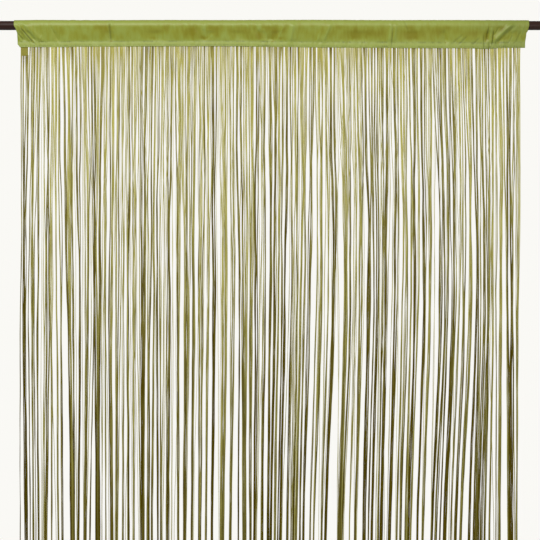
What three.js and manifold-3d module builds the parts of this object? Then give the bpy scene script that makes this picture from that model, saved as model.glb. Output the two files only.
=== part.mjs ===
// A string curtain on a rod: a flat cloth heading whose pocket goes over the rod, and under it
// a narrow woven tape from which long loose strands hang in uneven bunches.
// Millimetres, +Z up, +X along the rod to the viewer's right, and the viewer stands towards -Y.
// The origin is on the rod's axis, midway between its ends.

import * as THREE from 'three';
import { mergeVertices } from 'three/addons/utils/BufferGeometryUtils.js';
import Module from 'manifold-3d';

const wasm = await Module();
wasm.setup();

// The rod
const ROD_DIAMETER = 16;
const ROD_LENGTH = 1100;
const ROD_SIDES = 24;

// The heading: one strip of cloth folded over the rod and sewn to itself above its lower edge
const HEADING_WIDTH = 900;
const HEADING_FOOT = -37.5;
const SEAM_HEIGHT = -27;
const CLOTH = 1.2;
const POCKET_RADIUS = 9;
const POCKET_CLEARANCE = 0.45;
const TOP_LIFT_FADE = 60;
const HEADING_STEPS = 56;
const POCKET_ARC_PARTS = 12;
const WALL_PARTS = 3;

// How far out the heading's two ends are at each height: the cloth is drawn in below the rod
const END_OUTLINE = [
  { height: 0, left: -450, right: 450 },
  { height: -8, left: -446.5, right: 448.5 },
  { height: -15, left: -444.5, right: 445.5 },
  { height: -32, left: -444.5, right: 444 },
  { height: HEADING_FOOT, left: -440.5, right: 444 },
];

// The height of the heading's foot along the rod: it sags a little towards the right
const HEM_LINE = [
  { at: -445, height: -38 },
  { at: -370, height: -37.8 },
  { at: -330, height: -37 },
  { at: -85, height: -36.4 },
  { at: 20, height: -37.5 },
  { at: 85, height: -38.5 },
  { at: 190, height: -39 },
  { at: 265, height: -39.7 },
  { at: 335, height: -39.6 },
  { at: 375, height: -40.8 },
  { at: 410, height: -39 },
  { at: 445, height: -39 },
];

// Slow waves of the hem, in depth, and of the pocket's top, in height above the rod
const HEM_WAVES = [
  { length: 383, size: 0.3, start: 0 },
  { length: 145, size: 0.2, start: 1 },
];
const TOP_WAVES = [
  { length: 610, size: 0.2, start: 0.8 },
  { length: 258, size: 0.15, start: 0 },
];
const TOP_LIFT = 0.35;

// Heights between which the front wall's ridges and troughs come in, and fade out at the seam
const RIDGE_START = 6;
const RIDGE_FULL = -8;
const TROUGH_START = -8;
const TROUGH_FULL = -15;
const SEAM_FADE_START = -22;
const SEAM_FADE_END = -29;

// Folds of the heading's front wall, from left to right. "at" is where a fold meets the level of
// the rod's underside, "lean" is how far it moves sideways down to the seam, "wide" is its half
// width, and "out" is how far it stands towards the viewer, or sinks away where it is negative.
const FOLDS = [
  { at: -441, lean: 10, wide: 4, out: -2.0 },
  { at: -436, lean: 14, wide: 4, out: 1.4 },
  { at: -429, lean: 16, wide: 4, out: -2.6 },
  { at: -420, lean: 18, wide: 6, out: 1.6 },
  { at: -381, lean: 9, wide: 5, out: -1.2 },
  { at: -283, lean: 2, wide: 7, out: -1.3 },
  { at: -205, lean: 6, wide: 16, out: -1.2 },
  { at: -104, lean: -12, wide: 9, out: -1.4 },
  { at: -62, lean: 10, wide: 12, out: -1.2 },
  { at: -18, lean: 14, wide: 8, out: -1.6 },
  { at: 10, lean: -10, wide: 9, out: -1.4 },
  { at: 38, lean: -2, wide: 7, out: 1.3 },
  { at: 94, lean: -9, wide: 6, out: 1.2 },
  { at: 150, lean: 4, wide: 22, out: -1.1 },
  { at: 214, lean: -3, wide: 5, out: 1.3 },
  { at: 246, lean: 3, wide: 16, out: -1.2 },
  { at: 300, lean: 6, wide: 6, out: -1.5 },
  { at: 380, lean: -4, wide: 5, out: -2.4 },
  { at: 405, lean: -20, wide: 7, out: 2.6 },
  { at: 424, lean: -22, wide: 8, out: -2.0 },
];

// The tape that carries the strands, and its end that shows below the heading at the left
const CLEARANCE = 0.3;
const TAPE_HEIGHT = 3;
const TAPE_THICKNESS = 2;
const TAPE_LEFT = -439;
const TAPE_RIGHT = 436;
const TAPE_END_WIDTH = 13;
const TAPE_END_FOOT = -53;
const TAPE_END_THICKNESS = 1.8;

// The strands, and the heights at which each one changes direction
const STRAND_WIDTH = 1.6;
const STRAND_DEPTH = 1.5;
const ROW_PITCH = 2;
const ROWS = 3;
const SPLAY_HEIGHT = -75;
const NECK_HEIGHT = -150;
const WAIST_HEIGHT = -480;
const FOOT_HEIGHT = -874;
const STRAND_END = -1990;
const END_SCATTER = 8;
const NECK_GATHER = 0.3;
const NECK_DRIFT = 0.3;
const WAIST_GATHER = 0.75;
const END_SPREAD = 1.25;
const WIDTH_SCATTER = 0.1;
const GOLDEN_RATIO = (Math.sqrt(5) - 1) / 2;

// The bunches that the strands gather into, from left to right. "waist" and "foot" are where a
// bunch's middle is at those two heights, "spread" is its width at the foot, and "strands" is
// how many it holds.
const BUNCHES = [
  { waist: -439, foot: -440, spread: 1, strands: 1 },
  { waist: -433, foot: -429, spread: 8, strands: 5 },
  { waist: -425, foot: -423, spread: 1, strands: 1 },
  { waist: -419, foot: -417, spread: 3, strands: 3 },
  { waist: -415, foot: -413, spread: 1, strands: 1 },
  { waist: -411, foot: -408, spread: 3, strands: 2 },
  { waist: -404, foot: -402, spread: 2, strands: 1 },
  { waist: -392, foot: -395, spread: 6, strands: 4 },
  { waist: -385, foot: -385, spread: 2, strands: 2 },
  { waist: -376, foot: -373, spread: 3, strands: 2 },
  { waist: -368, foot: -366, spread: 3, strands: 2 },
  { waist: -351, foot: -348, spread: 9, strands: 8 },
  { waist: -335, foot: -338, spread: 3, strands: 4 },
  { waist: -322, foot: -327, spread: 5, strands: 5 },
  { waist: -310, foot: -318, spread: 1, strands: 2 },
  { waist: -305, foot: -304, spread: 8, strands: 7 },
  { waist: -298, foot: -297, spread: 1, strands: 1 },
  { waist: -292, foot: -290, spread: 2, strands: 2 },
  { waist: -283, foot: -280, spread: 6, strands: 4 },
  { waist: -270, foot: -271, spread: 5, strands: 4 },
  { waist: -259, foot: -260, spread: 3, strands: 2 },
  { waist: -252, foot: -251, spread: 4, strands: 3 },
  { waist: -241, foot: -241, spread: 3, strands: 4 },
  { waist: -227, foot: -226, spread: 8, strands: 7 },
  { waist: -215, foot: -216, spread: 5, strands: 3 },
  { waist: -207, foot: -209, spread: 4, strands: 2 },
  { waist: -201, foot: -199, spread: 3, strands: 2 },
  { waist: -194, foot: -193, spread: 4, strands: 3 },
  { waist: -180, foot: -182, spread: 5, strands: 4 },
  { waist: -172, foot: -174, spread: 1, strands: 1 },
  { waist: -163, foot: -163, spread: 3, strands: 4 },
  { waist: -149, foot: -152, spread: 5, strands: 6 },
  { waist: -137, foot: -139, spread: 4, strands: 4 },
  { waist: -124, foot: -126, spread: 6, strands: 5 },
  { waist: -111, foot: -115, spread: 3, strands: 3 },
  { waist: -101, foot: -104, spread: 4, strands: 4 },
  { waist: -82, foot: -87, spread: 8, strands: 6 },
  { waist: -67, foot: -72, spread: 4, strands: 4 },
  { waist: -56, foot: -58, spread: 2, strands: 2 },
  { waist: -48, foot: -48, spread: 8, strands: 6 },
  { waist: -36, foot: -37, spread: 4, strands: 4 },
  { waist: -26, foot: -29, spread: 6, strands: 4 },
  { waist: -13, foot: -17, spread: 5, strands: 3 },
  { waist: 1, foot: -4, spread: 10, strands: 7 },
  { waist: 11, foot: 6, spread: 4, strands: 2 },
  { waist: 22, foot: 14, spread: 8, strands: 5 },
  { waist: 35, foot: 28, spread: 4, strands: 2 },
  { waist: 46, foot: 39, spread: 12, strands: 7 },
  { waist: 56, foot: 50, spread: 3, strands: 2 },
  { waist: 65, foot: 56, spread: 4, strands: 4 },
  { waist: 79, foot: 68, spread: 3, strands: 1 },
  { waist: 87, foot: 74, spread: 3, strands: 4 },
  { waist: 99, foot: 87, spread: 3, strands: 3 },
  { waist: 108, foot: 95, spread: 4, strands: 5 },
  { waist: 138, foot: 121, spread: 11, strands: 9 },
  { waist: 148, foot: 136, spread: 1, strands: 2 },
  { waist: 157, foot: 147, spread: 4, strands: 5 },
  { waist: 171, foot: 162, spread: 6, strands: 4 },
  { waist: 179, foot: 170, spread: 2, strands: 2 },
  { waist: 185, foot: 176, spread: 4, strands: 3 },
  { waist: 191, foot: 183, spread: 1, strands: 1 },
  { waist: 198, foot: 190, spread: 9, strands: 6 },
  { waist: 211, foot: 202, spread: 1, strands: 1 },
  { waist: 218, foot: 207, spread: 5, strands: 4 },
  { waist: 230, foot: 219, spread: 3, strands: 2 },
  { waist: 237, foot: 226, spread: 4, strands: 3 },
  { waist: 251, foot: 239, spread: 12, strands: 7 },
  { waist: 268, foot: 256, spread: 3, strands: 4 },
  { waist: 278, foot: 265, spread: 4, strands: 4 },
  { waist: 299, foot: 281, spread: 4, strands: 4 },
  { waist: 306, foot: 288, spread: 4, strands: 3 },
  { waist: 310, foot: 295, spread: 2, strands: 2 },
  { waist: 320, foot: 304, spread: 6, strands: 5 },
  { waist: 330, foot: 314, spread: 2, strands: 2 },
  { waist: 338, foot: 322, spread: 5, strands: 3 },
  { waist: 349, foot: 331, spread: 6, strands: 4 },
  { waist: 360, foot: 346, spread: 4, strands: 2 },
  { waist: 372, foot: 361, spread: 17, strands: 8 },
  { waist: 382, foot: 374, spread: 4, strands: 2 },
  { waist: 388, foot: 382, spread: 3, strands: 2 },
  { waist: 395, foot: 393, spread: 2, strands: 2 },
  { waist: 402, foot: 399, spread: 5, strands: 3 },
  { waist: 417, foot: 418, spread: 10, strands: 7 },
  { waist: 430, foot: 429, spread: 4, strands: 4 },
];

const COLORS = { rod: 0x3a2620, heading: 0x96a050, strands: 0x6f6a34 };

const mix = (a, b, share) => a + (b - a) * share;
const ramp = (from, to, value) => THREE.MathUtils.smoothstep((value - from) / (to - from), 0, 1);

// Extrudes a shape in equal steps and puts each of its points where "place" says. "place" gets
// the point's two places in the shape and its share of the way along, from 0 to 1.
function extrude(shape, steps, place) {
  const geometry = new THREE.ExtrudeGeometry(shape, { depth: 1, steps, bevelEnabled: false });
  const points = geometry.attributes.position;
  for (let i = 0; i < points.count; i += 1) {
    const [x, y, z] = place(points.getX(i), points.getY(i), points.getZ(i));
    points.setXYZ(i, x, y, z);
  }
  return geometry;
}

function toSolid(geometry) {
  const bare = geometry.clone();
  bare.deleteAttribute('normal');
  bare.deleteAttribute('uv');
  const merged = mergeVertices(bare, 1e-4);
  const vertProperties = new Float32Array(merged.attributes.position.array);
  const triVerts = new Uint32Array(merged.index.array);
  return new wasm.Manifold(new wasm.Mesh({ numProp: 3, vertProperties, triVerts }));
}

function toGeometry(solid) {
  const mesh = solid.getMesh();
  const geometry = new THREE.BufferGeometry();
  geometry.setAttribute('position', new THREE.BufferAttribute(mesh.vertProperties, 3));
  geometry.setIndex(new THREE.BufferAttribute(mesh.triVerts, 1));
  geometry.computeVertexNormals();
  return geometry;
}

function makeMesh(name, geometry, color, roughness, metalness) {
  const material = new THREE.MeshStandardMaterial({ color, roughness, metalness });
  const mesh = new THREE.Mesh(geometry, material);
  mesh.name = name;
  return mesh;
}

function makeRod() {
  const radius = ROD_DIAMETER / 2;
  const geometry = new THREE.CylinderGeometry(radius, radius, ROD_LENGTH, ROD_SIDES);
  const rod = makeMesh('rod', geometry, COLORS.rod, 0.4, 0.3);
  rod.rotation.z = Math.PI / 2;
  return rod;
}

// The pocket's round part, with both walls leaving it straight towards the seam
function pocketArc(radius, centre, angle) {
  const arc = new THREE.EllipseCurve(0, centre, radius, radius, -angle, Math.PI + angle);
  return arc.getPoints(POCKET_ARC_PARTS);
}

function divide(from, to, parts) {
  const points = [];
  for (let i = 1; i < parts; i += 1) {
    points.push(from.clone().lerp(to, i / parts));
  }
  return points;
}

// The heading's cross-section: across is the depth and up is the height
function headingSection() {
  const centre = ROD_DIAMETER / 2 + POCKET_CLEARANCE - POCKET_RADIUS;
  const angle = Math.asin(POCKET_RADIUS / (centre - SEAM_HEIGHT));
  const outerArc = pocketArc(POCKET_RADIUS + CLOTH, centre, angle);
  const innerArc = pocketArc(POCKET_RADIUS, centre, angle);

  const rightSeam = new THREE.Vector2(CLOTH, SEAM_HEIGHT);
  const leftSeam = new THREE.Vector2(-CLOTH, SEAM_HEIGHT);
  const rightFoot = new THREE.Vector2(CLOTH, HEADING_FOOT);
  const leftFoot = new THREE.Vector2(-CLOTH, HEADING_FOOT);
  const section = new THREE.Shape([
    leftFoot,
    rightFoot,
    ...divide(rightFoot, rightSeam, 2),
    rightSeam,
    ...divide(rightSeam, outerArc[0], WALL_PARTS),
    ...outerArc,
    ...divide(outerArc[outerArc.length - 1], leftSeam, WALL_PARTS),
    leftSeam,
    ...divide(leftSeam, leftFoot, 2),
  ]);

  const seam = new THREE.Vector2(0, SEAM_HEIGHT);
  section.holes.push(new THREE.Path([
    seam,
    ...divide(seam, innerArc[0], WALL_PARTS),
    ...innerArc,
    ...divide(innerArc[innerArc.length - 1], seam, WALL_PARTS),
  ]));
  return section;
}

// Reads a table at a place, softly from one entry to the next. "key" holds the entries' places,
// in order, and "value" what is wanted.
function readTable(table, key, value, place) {
  let result = table[0][value];
  for (let i = 1; i < table.length; i += 1) {
    const share = ramp(table[i - 1][key], table[i][key], place);
    result = mix(result, table[i][value], share);
  }
  return result;
}

const hemFoot = (x) => readTable(HEM_LINE, 'at', 'height', x);

// A place along the rod, from a share of the heading's width at a height
function acrossHeading(share, height) {
  const left = readTable(END_OUTLINE, 'height', 'left', height);
  return mix(left, readTable(END_OUTLINE, 'height', 'right', height), share);
}

function waves(table, x) {
  return table.reduce((sum, { length, size, start }) => (
    sum + size * Math.sin((2 * Math.PI * x) / length + start)
  ), 0);
}

function topLift(x) {
  const end = HEADING_WIDTH / 2;
  return (TOP_LIFT + waves(TOP_WAVES, x)) * ramp(end, end - TOP_LIFT_FADE, Math.abs(x));
}

// How far the front wall stands towards the viewer at a place
function frontFold(x, z) {
  const underside = -ROD_DIAMETER / 2;
  const down = (underside - z) / (underside - SEAM_HEIGHT);
  const aboveSeam = ramp(SEAM_FADE_END, SEAM_FADE_START, z);
  const ridges = ramp(RIDGE_START, RIDGE_FULL, z) * aboveSeam;
  const troughs = ramp(TROUGH_START, TROUGH_FULL, z) * aboveSeam;
  let out = 0;
  for (const fold of FOLDS) {
    const away = (x - fold.at - fold.lean * down) / fold.wide;
    out += fold.out * Math.exp(-away * away) * (fold.out > 0 ? ridges : troughs);
  }
  return out;
}

function makeHeading() {
  const geometry = extrude(headingSection(), HEADING_STEPS, (depth, height, share) => {
    const x = acrossHeading(share, height);
    const hem = waves(HEM_WAVES, x) * ramp(TROUGH_START, SEAM_HEIGHT, height);
    const fold = depth < 0 ? frontFold(x, height) : 0;
    const lift = topLift(x) * ramp(0, ROD_DIAMETER / 2, height);
    const sag = (hemFoot(x) - HEADING_FOOT) * ramp(TROUGH_START, HEADING_FOOT, height);
    return [x, depth + hem - fold, height + lift + sag];
  });
  return makeMesh('heading', geometry, COLORS.heading, 0.55, 0);
}

const tapeTop = (x) => hemFoot(x) - CLEARANCE;

// The tape, in the heading's own steps, so that it follows the heading's foot
function makeTape() {
  const half = TAPE_THICKNESS / 2;
  const section = new THREE.Shape([
    new THREE.Vector2(-half, -TAPE_HEIGHT),
    new THREE.Vector2(half, -TAPE_HEIGHT),
    new THREE.Vector2(half, 0),
    new THREE.Vector2(-half, 0),
  ]);
  return extrude(section, HEADING_STEPS, (depth, height, share) => {
    const place = acrossHeading(share, HEADING_FOOT);
    const x = THREE.MathUtils.clamp(place, TAPE_LEFT, TAPE_RIGHT);
    return [x, depth, tapeTop(x) + height];
  });
}

function makeTapeEnd() {
  const top = tapeTop(TAPE_LEFT) - TAPE_HEIGHT / 2;
  const height = top - TAPE_END_FOOT;
  const geometry = new THREE.BoxGeometry(TAPE_END_WIDTH, TAPE_END_THICKNESS, height);
  return geometry.translate(TAPE_LEFT + TAPE_END_WIDTH / 2, 0, top - height / 2);
}

// Where each strand's middle runs, from its end up to its root in the tape
function strandRoutes() {
  const total = BUNCHES.reduce((sum, bunch) => sum + bunch.strands, 0);
  const pitch = (TAPE_RIGHT - TAPE_LEFT) / total;
  const routes = [];
  for (const bunch of BUNCHES) {
    const rootMiddle = TAPE_LEFT + (routes.length + bunch.strands / 2) * pitch;
    for (let i = 0; i < bunch.strands; i += 1) {
      const number = routes.length;
      const scatter = (number * GOLDEN_RATIO) % 1 - 0.5;
      const place = (i + 0.5) / bunch.strands - 0.5;
      const root = TAPE_LEFT + (number + 0.5) * pitch;
      const offset = place * bunch.spread;
      const neck = mix(rootMiddle, bunch.waist, NECK_DRIFT) + offset;
      const row = (number % ROWS - (ROWS - 1) / 2) * ROW_PITCH;
      const underEnd = root < TAPE_LEFT + TAPE_END_WIDTH;
      const tapeFoot = underEnd ? TAPE_END_FOOT : tapeTop(root) - TAPE_HEIGHT;
      routes.push({
        width: STRAND_WIDTH * (1 + 2 * WIDTH_SCATTER * scatter),
        points: [
          [bunch.foot + offset * END_SPREAD, row, STRAND_END + 2 * END_SCATTER * scatter],
          [bunch.foot + offset, row, FOOT_HEIGHT],
          [mix(root, bunch.waist + offset, WAIST_GATHER), row, WAIST_HEIGHT],
          [mix(root, neck, NECK_GATHER), row, NECK_HEIGHT],
          [root, row, SPLAY_HEIGHT],
          [root, 0, tapeFoot + TAPE_HEIGHT / 2],
        ],
      });
    }
  }
  return routes;
}

function strandSolid(route) {
  const { width, points } = route;
  const section = new THREE.Shape([
    new THREE.Vector2(-width / 2, -STRAND_DEPTH / 3),
    new THREE.Vector2(width / 2, -STRAND_DEPTH / 3),
    new THREE.Vector2(0, STRAND_DEPTH * 2 / 3),
  ]);
  const steps = points.length - 1;
  return toSolid(extrude(section, steps, (across, depth, share) => {
    const [x, y, z] = points[Math.round(share * steps)];
    return [x + across, y + depth, z];
  }));
}

function makeFringe() {
  const parts = [makeTape(), makeTapeEnd()].map(toSolid);
  const strands = strandRoutes().map(strandSolid);
  const geometry = toGeometry(wasm.Manifold.union([...parts, ...strands]));
  return makeMesh('fringe', geometry, COLORS.strands, 0.7, 0);
}

const curtain = new THREE.Group();
curtain.name = 'string_curtain_on_a_rod';
curtain.add(makeRod(), makeHeading(), makeFringe());

export default curtain;
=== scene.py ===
"""A string curtain on a rod: the rod, the cloth heading with its rod pocket, the woven tape and its yarns.

Sizes of the pieces are in millimetres and are turned into metres where a mesh is made. The row frame has its
origin on the rod's axis midway along it, +X to the viewer's right, +Y away from the viewer and +Z up.
"""

import logging
import math
import random
from dataclasses import dataclass, field
from enum import Enum
from typing import NamedTuple

import bmesh
import bpy
import numpy as np
from mathutils import Matrix, Vector, noise


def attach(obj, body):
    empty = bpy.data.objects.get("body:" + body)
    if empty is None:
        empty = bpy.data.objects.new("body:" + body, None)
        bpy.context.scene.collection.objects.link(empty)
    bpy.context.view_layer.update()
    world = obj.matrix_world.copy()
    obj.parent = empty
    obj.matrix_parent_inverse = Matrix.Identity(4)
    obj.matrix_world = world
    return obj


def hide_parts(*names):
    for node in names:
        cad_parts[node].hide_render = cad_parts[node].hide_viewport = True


LOG = logging.getLogger("string_curtain")
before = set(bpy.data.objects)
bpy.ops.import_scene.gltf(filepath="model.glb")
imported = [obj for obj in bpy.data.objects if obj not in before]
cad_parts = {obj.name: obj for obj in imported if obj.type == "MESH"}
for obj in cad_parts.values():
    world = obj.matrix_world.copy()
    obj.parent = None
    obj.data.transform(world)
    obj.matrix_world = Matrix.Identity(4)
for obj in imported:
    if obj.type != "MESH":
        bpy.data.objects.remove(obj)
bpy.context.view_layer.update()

MM = 0.001
GOLDEN_RATIO = (math.sqrt(5) - 1) / 2
BODY = "root"
Colour = tuple[float, float, float]
Span = tuple[float, float]

# Every thread has this many sides, and its two ends are drawn in to this share of its radius
THREAD_SIDES = 4
THREAD_TIP = 0.2

# A drawn wave has its usual length times a factor from this span
WAVE_CHANGE = (0.75, 1.3)

# The usual height of the heading's foot, in millimetres
HEM_FOOT = -37.5

# A Mix node has sockets of one name for numbers, vectors and colours: these are its colour ones
MIX_FIRST = 6
MIX_SECOND = 7
MIX_RESULT = 2

# How far a fold and a colour patch are followed to the side, in their own half widths
FOLD_REACH = 3
PATCH_REACH = 2.2

# A crease fades out over these shares of its length, past each end and within it
CREASE_TAIL = 0.3
CREASE_FULL = 0.15

# Creases are looked up by stretches of the rod this long, and reach this far to the side, in millimetres
STRETCH = 20
CREASE_REACH = 14


def mix(a: float, b: float, share: float) -> float:
    """The value that lies this share of the way from a to b."""
    return a + (b - a) * share


def ramp(start: float, full: float, value: float) -> float:
    """A smooth step.

    Args:
        start: where the step is still 0.
        full: where it reaches 1.
        value: the place that is asked for.

    Returns:
        A number from 0 to 1.
    """
    share = min(1.0, max(0.0, (value - start) / (full - start)))
    return share * share * (3 - 2 * share)


def srgb(red: int, green: int, blue: int) -> Colour:
    """Turns a colour as it looks on a screen into linear light.

    Args:
        red: from 0 to 255.
        green: from 0 to 255.
        blue: from 0 to 255.

    Returns:
        The same colour, with channels from 0 to 1.
    """

    def linear(value: int) -> float:
        """One channel."""
        share = value / 255
        return share / 12.92 if share <= 0.04045 else ((share + 0.055) / 1.055) ** 2.4

    return linear(red), linear(green), linear(blue)


class Wave(NamedTuple):
    """One slow wave along the heading: its length and size in millimetres, and its start in radians."""

    length: float
    size: float
    start: float

    def at(self, x: float) -> float:
        """Its height at a place along the rod, in millimetres."""
        return self.size * math.sin(math.tau * x / self.length + self.start)


class Grain(NamedTuple):
    """One layer of soft unevenness on the cloth.

    "long" and "tall" are about as large as its patches, in millimetres along the rod and down the cloth,
    where an endless "tall" makes it the same all the way down. "number" picks its pattern, and "size" is
    how strong it is.
    """

    long: float
    tall: float
    number: float
    size: float

    def at(self, x: float, z: float = 0.0, side: int = 1) -> float:
        """Its value at a place of a wall of the heading, where each side has a pattern of its own."""
        return noise.noise(Vector((x / self.long, z / self.tall, self.number * side))) * self.size


def uneven(layers: tuple[Grain, ...], x: float, z: float = 0.0) -> float:
    """Several layers of unevenness together, at a place of the front wall."""
    return sum(layer.at(x, z) for layer in layers)


class Fold(NamedTuple):
    """One fold of the heading's front wall, in millimetres.

    "at" is where it meets the level of the rod's underside, "lean" is how far it moves sideways down to the
    seam, "wide" is its half width, and "out" is how far it stands out, or sinks where it is negative.
    """

    at: float
    lean: float
    wide: float
    out: float

    def bulge(self, x: float, down: float) -> float:
        """How far it stands out at a place.

        Args:
            x: the place along the rod.
            down: the place's share of the way from the rod's underside to the seam.

        Returns:
            The bulge, in millimetres.
        """
        away = (x - self.at - self.lean * down) / self.wide
        return self.out * math.exp(-away * away) if abs(away) < FOLD_REACH else 0.0


class Crease(NamedTuple):
    """A small ridge or trough of the front wall along a straight line, in millimetres."""

    start_x: float
    start_z: float
    end_x: float
    end_z: float
    wide: float
    out: float

    def push(self, x: float, z: float) -> float:
        """How far it pushes the wall towards the viewer.

        Args:
            x: the place along the rod.
            z: its height on the folded strip.

        Returns:
            The push in millimetres, below 0 in a trough.
        """
        run = Vector((self.end_x - self.start_x, self.end_z - self.start_z))
        to_place = Vector((x - self.start_x, z - self.start_z))
        share = to_place.dot(run) / run.length_squared
        if not -CREASE_TAIL < share < 1 + CREASE_TAIL:
            return 0.0
        away = (run.x * to_place.y - run.y * to_place.x) / run.length / self.wide
        ends = ramp(-CREASE_TAIL, CREASE_FULL, share) * ramp(1 + CREASE_TAIL, 1 - CREASE_FULL, share)
        return self.out * math.exp(-away * away) * ends


class Patch(NamedTuple):
    """A soft patch of deeper, browner green on the front wall, in millimetres, and how strong it is."""

    x: float
    z: float
    half_width: float
    half_height: float
    strength: float

    def depth(self, x: float, z: float) -> float:
        """How deep it makes the cloth's colour at a place.

        Args:
            x: the place along the rod.
            z: its height on the folded strip.

        Returns:
            From 0 to the patch's strength.
        """
        across = (x - self.x) / self.half_width
        if abs(across) >= PATCH_REACH:
            return 0.0
        up = (z - self.z) / self.half_height
        return self.strength * math.exp(-across * across - up * up)


class EndPlace(NamedTuple):
    """How far out the heading's two ends are "at" a height, in millimetres."""

    at: float
    left: float
    right: float


class HemPlace(NamedTuple):
    """The height of the heading's foot "at" a place along the rod, in millimetres."""

    at: float
    height: float


class Bunch(NamedTuple):
    """A bunch of strands, in millimetres.

    "waist" and "foot" are where its middle is at those two heights, "spread" is its width at the foot, and
    "strands" is how many it holds.
    """

    waist: float
    foot: float
    spread: float
    strands: int


# The slow waves of the hem and of the top edge
HEM_WAVES = (Wave(383, 0.3, 0), Wave(145, 0.2, 1))
TOP_WAVES = (Wave(610, 0.2, 0.8), Wave(258, 0.15, 0))

# From the top down
END_OUTLINE = (
    EndPlace(0, -450, 450),
    EndPlace(-8, -446.5, 448.5),
    EndPlace(-15, -444.5, 445.5),
    EndPlace(-32, -444.5, 444),
    EndPlace(-37.5, -440.5, 444),
)

# This table and those after it go roughly from left to right along the curtain
HEM_LINE = (
    HemPlace(-445, -38),
    HemPlace(-370, -37.8),
    HemPlace(-330, -37),
    HemPlace(-85, -36.4),
    HemPlace(20, -37.5),
    HemPlace(85, -38.5),
    HemPlace(190, -39),
    HemPlace(265, -39.7),
    HemPlace(335, -39.6),
    HemPlace(375, -40.8),
    HemPlace(410, -39),
    HemPlace(445, -39),
)

FOLDS = (
    Fold(-441, 10, 4, -2.0),
    Fold(-436, 14, 4, 1.4),
    Fold(-429, 16, 4, -2.6),
    Fold(-420, 18, 6, 1.6),
    Fold(-381, 9, 5, -1.2),
    Fold(-283, 2, 7, -1.3),
    Fold(-205, 6, 16, -1.2),
    Fold(-104, -12, 9, -1.4),
    Fold(-62, 10, 12, -1.2),
    Fold(-18, 14, 8, -1.6),
    Fold(10, -10, 9, -1.4),
    Fold(38, -2, 7, 1.3),
    Fold(94, -9, 6, 1.2),
    Fold(150, 4, 22, -1.1),
    Fold(214, -3, 5, 1.3),
    Fold(246, 3, 16, -1.2),
    Fold(300, 6, 6, -1.5),
    Fold(380, -4, 5, -2.0),
    Fold(409, -22, 6, 2.4),
    Fold(428, -22, 7, -1.0),
)

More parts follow.
